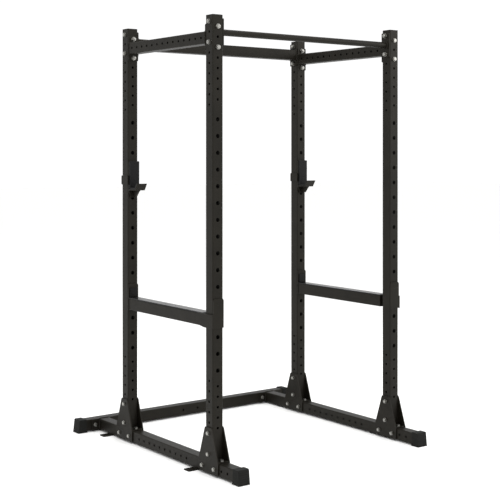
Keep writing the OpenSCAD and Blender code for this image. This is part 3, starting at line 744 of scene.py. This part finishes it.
def socket_screws(node, across_flats):
    """Countersunk screws with a hexagon socket."""
    measures = [measure_turned(p, max) for p in separate_solids(node)]
    one = measures[0]
    rim, shank, length = one["widest"], one["shank"], one["length"]
    corner, deep, land, cone = across_flats / 2 / math.cos(HEX / 2), 2.2 * MM, 0.3 * MM, 3 * MM
    rows = [(0, -deep - 0.5 * MM, 0, 0), (corner, -deep, 1, 0), (corner, 0, 1, 0),
            (rim - land, 0, 0, 0), (rim, -land, 0, 0), (shank, -cone, 0, 0),
            (shank, 1 * MM - length, 0, 0), (0.7 * shank, -length, 0, 0), (0, -length, 0, 0)]
    return set_hardware(f"{node}_oxide", node, "oxide", measures, rows, {
        "Across Flats": across_flats, "Flat Circle": 1.0, "Height": 0.0})


# ---- Welds ----


def loop_path(centre, across, up, outline):
    """A closed path of (x, y) points laid in the plane of two directions."""
    return [centre + across * x + up * y for x, y in outline], True


def tube_path(centre, across, up):
    sizes = bpy.context.scene.cage_sizes
    outline = rounded_square(sizes.tube / 2, sizes.tube_corner, 6)
    return loop_path(centre, across, up, outline)


def bar_path(centre, across, up):
    radius = bpy.context.scene.cage_sizes.bar_radius
    outline = [(radius * math.cos(TAU * i / 32), radius * math.sin(TAU * i / 32)) for i in range(32)]
    return loop_path(centre, across, up, outline)


def weld(name, paths, body, seed):
    """One piece of weld beads along the paths, riding on a body."""
    sizes = bpy.context.scene.cage_sizes
    points, edges = [], []
    for path, closed in paths:
        first = len(points)
        points.extend(path)
        edges.extend((first + i, first + i + 1) for i in range(len(path) - 1))
        if closed:
            edges.append((len(points) - 1, first))
    start = bpy.data.meshes.new(name)
    start.from_pydata(points, edges, [])
    mesh = run_tree(tree_for(weld_tree), start, {
        "Leg": sizes.weld_leg, "Ripple Pitch": sizes.ripple_pitch,
        "Ripple Height": sizes.ripple_height, "Seed": seed, "Finish": material_for("coat")})
    return finish_piece(name, mesh, "coat", [], body)


X, Y, Z = Vector((1, 0, 0)), Vector((0, 1, 0)), Vector((0, 0, 1))


def spot(node, **moved):
    """The middle of a CAD node with some of its coordinates replaced."""
    place = middle(node)
    for axis, value in moved.items():
        place["xyz".index(axis)] = value
    return place


def frame_weld_paths():
    """The welds of the beams', base tubes' and pull-up bar's flanges, and of the foot plates."""
    sizes = bpy.context.scene.cage_sizes
    t, half = sizes.flange, sizes.tube / 2
    paths = []
    for side in SIDES:
        beam = f"top_side_beam_{side}"
        low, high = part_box(beam)
        paths += [tube_path(spot(beam, y=y), X, Z) for y in (low.y + t, high.y - t)]
        base = f"base_side_{side}"
        low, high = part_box(base)
        tube_middle = Vector((middle(f"upright_rear_{side}").x, high.y - t, middle("base_rear").z))
        paths.append(tube_path(tube_middle, X, Z))
    low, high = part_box("top_rear_beam")
    paths += [tube_path(spot("top_rear_beam", x=x), Y, Z) for x in (low.x + t, high.x - t)]
    low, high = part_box("pull_up_bar")
    paths += [bar_path(spot("pull_up_bar", x=x), Y, Z) for x in (low.x + t, high.x - t)]
    run = half - sizes.tube_corner
    for corner in CORNERS:
        foot = spot(f"upright_{corner}", z=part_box(f"upright_{corner}")[0].z + t)
        for way in (-1, 1):
            edge = foot + Y * way * half
            paths.append(([edge - X * run, edge + X * run], False))
    return paths


def arm_weld_paths(side):
    """The weld of a safety's tube to its rear plate."""
    sizes = bpy.context.scene.cage_sizes
    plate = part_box(f"safety_{side}_arm")[1].y - sizes.flange
    tube_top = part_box(f"safety_{side}_liner")[0].z
    across = middle(f"safety_{side}_liner").x
    tube_middle = Vector((across, plate, tube_top - sizes.tube / 2))
    return [tube_path(tube_middle, X, Z)]


def cup_weld_paths(side):
    """The welds of a bar cup: the shelf to the back plate, and the rib to the shelf."""
    sizes = bpy.context.scene.cage_sizes
    x = middle(f"upright_rear_{side}").x
    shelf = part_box(f"cup_{side}_saddle")[0].z - sizes.flange
    # The back liner lies on the front of the back plate
    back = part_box(f"cup_{side}_back_liner")[1].y
    rib, shelf_end, rib_run = 4 * MM, sizes.tube / 2 - 4 * MM, 58 * MM
    root = Vector((x, back, shelf))
    paths = [([root + X * way * rib, root + X * way * shelf_end], False) for way in (-1, 1)]
    paths += [([root + X * way * rib, root + X * way * rib - Y * rib_run], False) for way in (-1, 1)]
    return paths


# ---- Operators ----


class CAGE_OT_steelwork(bpy.types.Operator):
    """Coats the uprights, base tubes, top beams, pull-up bar and gusset plates"""

    bl_idname = "cage.steelwork"
    bl_label = "Steelwork"

    def execute(self, context):
        nodes = [f"upright_{corner}" for corner in CORNERS]
        nodes += [f"{kind}_{side}" for kind in ("base_side", "top_side_beam") for side in SIDES]
        nodes += ["base_rear", "top_rear_beam", "pull_up_bar"]
        nodes += [f"gusset_{corner}_{face}" for corner in CORNERS for face in ("outer", "inner")]
        for node in nodes:
            soften_node(node, "coat", context.scene.cage_sizes.steel_edge)
        return {"FINISHED"}


class CAGE_OT_welds(bpy.types.Operator):
    """Lays the weld beads of the frame, the bar cups and the safeties"""

    bl_idname = "cage.welds"
    bl_label = "Welds"

    def execute(self, context):
        weld("frame_welds", frame_weld_paths(), "frame", 1)
        for seed, side in enumerate(SIDES, start=2):
            weld(f"cup_{side}_welds", cup_weld_paths(side), f"cup_{side}", seed)
            weld(f"safety_{side}_welds", arm_weld_paths(side), f"safety_{side}", seed + 2)
        return {"FINISHED"}


class CAGE_OT_boots(bpy.types.Operator):
    """Moulds the four rubber boots"""

    bl_idname = "cage.boots"
    bl_label = "Boots"

    def execute(self, context):
        for corner in CORNERS:
            soften_node(f"boot_{corner}", "rubber", context.scene.cage_sizes.rubber_edge)
        return {"FINISHED"}


class CAGE_OT_caps(bpy.types.Operator):
    """Moulds the four crowned caps on the uprights"""

    bl_idname = "cage.caps"
    bl_label = "Caps"

    def execute(self, context):
        sizes = context.scene.cage_sizes
        half, corner = sizes.tube / 2, sizes.tube_corner
        for place in CORNERS:
            node = f"top_cap_{place}"
            low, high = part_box(node)
            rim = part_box(f"upright_{place}")[1].z
            plug = half - 3.4 * MM
            crown = high.z - rim
            lip, roll = 1.1 * MM, 0.9 * MM
            rows = [(plug - 1 * MM, 2 * MM, low.z - rim), (plug, 2 * MM, low.z - rim + 2 * MM),
                    (plug, 2 * MM, 0), (half - 0.1 * MM, corner, 0), (half, corner, lip)]
            for i in range(1, 5):
                turn = i / 4 * math.pi / 2
                rows.append((half - roll * (1 - math.cos(turn)), corner, lip + roll * math.sin(turn)))
            edge, start = rows[-1][0], rows[-1][2]
            for i in range(1, 9):
                share = 1 - i / 9
                rows.append((edge * share, corner * share, start + (crown - start) * (1 - share ** 2.5)))
            base = Vector((middle(node).x, middle(node).y, rim))
            mesh = lofted(node, base, rows, 6)
            finish_piece(f"{node}_plastic", mesh, "plastic", [node])
        return {"FINISHED"}


class CAGE_OT_hardware(bpy.types.Operator):
    """Sets the bolts, washers and nuts of the frame"""

    bl_idname = "cage.hardware"
    bl_label = "Hardware"

    def execute(self, context):
        sizes = context.scene.cage_sizes
        for group in ("top", "gusset", "foot", "rear_joint"):
            hex_bolts(f"{group}_bolts", sizes.top_pitch if group == "top" else sizes.base_pitch)
            washers(f"{group}_washers")
            hex_nuts("foot_weld_nuts" if group == "foot" else f"{group}_nuts")
        return {"FINISHED"}


class CAGE_OT_cups(bpy.types.Operator):
    """Finishes the two bar cups with their pins, liners and screws"""

    bl_idname = "cage.cups"
    bl_label = "Bar Cups"

    def execute(self, context):
        sizes = context.scene.cage_sizes
        for side in SIDES:
            cup = f"cup_{side}"
            soften_node(f"{cup}_bracket", "coat", sizes.steel_edge)
            soften_node(f"{cup}_pin", "zinc", sizes.steel_edge)
            for liner in ("back_liner", "saddle"):
                soften_node(f"{cup}_{liner}", "plastic", sizes.plastic_edge)
            socket_screws(f"{cup}_screws", sizes.socket)
        return {"FINISHED"}


class CAGE_OT_safeties(bpy.types.Operator):
    """Finishes the two safeties with their pins, strips, pads and screws"""

    bl_idname = "cage.safeties"
    bl_label = "Safeties"

    def execute(self, context):
        sizes = context.scene.cage_sizes
        for side in SIDES:
            safety = f"safety_{side}"
            soften_node(f"{safety}_arm", "coat", sizes.steel_edge)
            soften_node(f"{safety}_pins", "coat", sizes.steel_edge)
            soften_node(f"{safety}_liner", "liner", sizes.plastic_edge)
            soften_node(f"{safety}_pad", "plastic", sizes.plastic_edge)
            socket_screws(f"{safety}_screws", sizes.socket)
        return {"FINISHED"}


class CAGE_OT_stage(bpy.types.Operator):
    """Sets the pale floor, the soft lights and the camera"""

    bl_idname = "cage.stage"
    bl_label = "Stage"

    def execute(self, context):
        bpy.ops.mesh.primitive_plane_add(size=80)
        floor = context.object
        floor.name = "studio_floor"
        floor.data.materials.append(material_for("floor"))

        world = bpy.data.worlds.new("soft_studio")
        context.scene.world = world
        world.use_nodes = True
        world.node_tree.nodes["Background"].inputs["Color"].default_value = (1.0, 1.0, 1.0, 1.0)
        world.node_tree.nodes["Background"].inputs["Strength"].default_value = 1.06

        target = (CAD_BOX[0] + CAD_BOX[1]) / 2
        for name, place, size, power in (
                ("key_panel", (-3.2, -3.6, 4.2), 3.0, 120),
                ("fill_panel", (3.8, -3.0, 3.0), 3.0, 70),
                ("top_panel", (0.0, 0.0, 5.5), 4.0, 120)):
            light = bpy.data.lights.new(name, "AREA")
            light.shape = "SQUARE"
            light.size = size
            light.energy = power
            panel = link_object(name, light)
            panel.location = place
            panel.rotation_euler = (target - Vector(place)).to_track_quat("-Z", "Y").to_euler()

        lens = bpy.data.cameras.new("camera")
        lens.lens = 81.22
        lens.sensor_width = 36
        lens.shift_y = -0.195
        camera = link_object("camera", lens)
        camera.location = (-3.6767, -4.8932, 1.5416)
        camera.rotation_euler = (math.radians(90), 0, math.radians(-36.7))
        context.scene.camera = camera
        context.scene.view_settings.view_transform = "Standard"
        return {"FINISHED"}


class CAGE_PT_panel(bpy.types.Panel):
    """Lists the cage's groups of pieces and their settings"""

    bl_idname = "CAGE_PT_panel"
    bl_label = "Power Cage"
    bl_space_type = "VIEW_3D"
    bl_region_type = "UI"
    bl_category = "Power Cage"

    def draw(self, context):
        for operator in OPERATORS:
            self.layout.operator(operator.bl_idname)
        for group in (context.scene.cage_sizes, context.scene.cage_finishes):
            box = self.layout.box()
            for name in group.__annotations__:
                box.prop(group, name)


OPERATORS = (CAGE_OT_steelwork, CAGE_OT_welds, CAGE_OT_boots, CAGE_OT_caps, CAGE_OT_hardware,
             CAGE_OT_cups, CAGE_OT_safeties, CAGE_OT_stage)
CLASSES = (CageSizes, CageFinishes, *OPERATORS, CAGE_PT_panel)


def register():
    for item in CLASSES:
        bpy.utils.register_class(item)
    bpy.types.Scene.cage_sizes = PointerProperty(type=CageSizes)
    bpy.types.Scene.cage_finishes = PointerProperty(type=CageFinishes)


def unregister():
    del bpy.types.Scene.cage_finishes
    del bpy.types.Scene.cage_sizes
    for item in reversed(CLASSES):
        bpy.utils.unregister_class(item)


def main():
    register()
    bpy.ops.cage.steelwork()
    bpy.ops.cage.welds()
    bpy.ops.cage.boots()
    bpy.ops.cage.caps()
    bpy.ops.cage.hardware()
    bpy.ops.cage.cups()
    bpy.ops.cage.safeties()
    bpy.ops.cage.stage()


if __name__ == "__main__":
    main()
